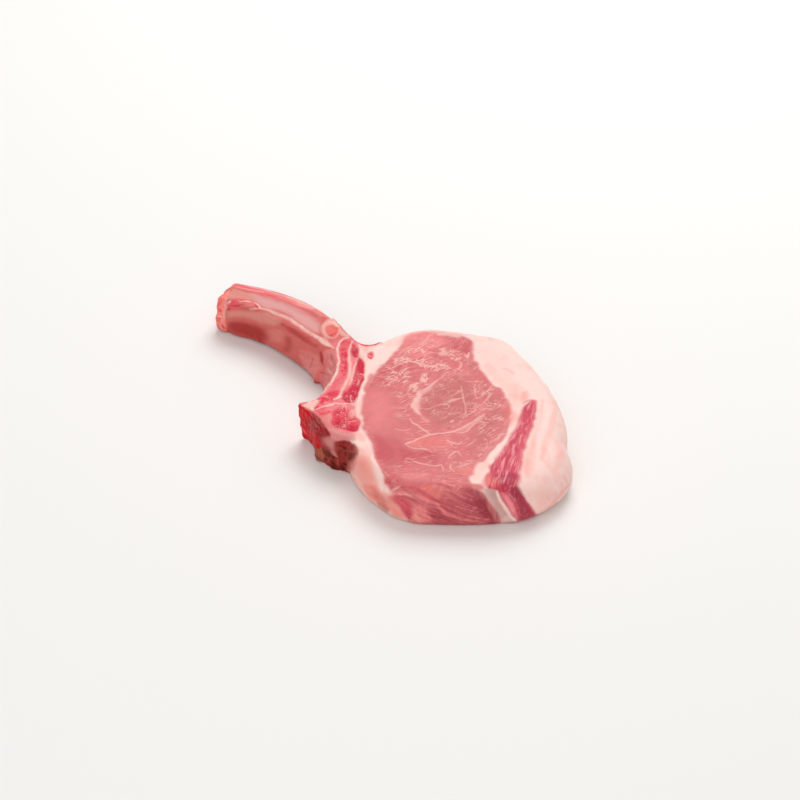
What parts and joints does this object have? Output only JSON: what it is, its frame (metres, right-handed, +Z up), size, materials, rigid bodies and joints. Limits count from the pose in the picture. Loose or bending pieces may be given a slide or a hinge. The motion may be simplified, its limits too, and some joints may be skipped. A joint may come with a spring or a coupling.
{
  "type": "raw pork rib chop",
  "caption": "Thick raw pork chop cut from a rack, lying flat: marbled loin eye, dark cap muscle, pale fat cap, sawn vertebra and a long bare rib.",
  "frame": {"origin": "on the floor, under the middle of the chop's box", "axes": "+X from the free end of the rib to the back fat, +Y away from the sawn front of the vertebra, +Z up out of the cut face"},
  "size_m": [0.2332, 0.127, 0.0245],
  "materials": {
    "lean": "moist pink raw lean, finely marbled",
    "cap_lean": "moist dark pink raw lean, fibrous",
    "fat": "waxy pale cream fat",
    "sawn_bone": "sawn bone, red marrow between pale rims",
    "rib_bone": "bone under a thin grey-pink membrane"
  },
  "bodies": {
    "root": {"loin_eye": "lean", "cap_muscle": "cap_lean", "fat": "fat", "vertebra": "sawn_bone", "rib": "rib_bone"}
  },
  "joints": []
}
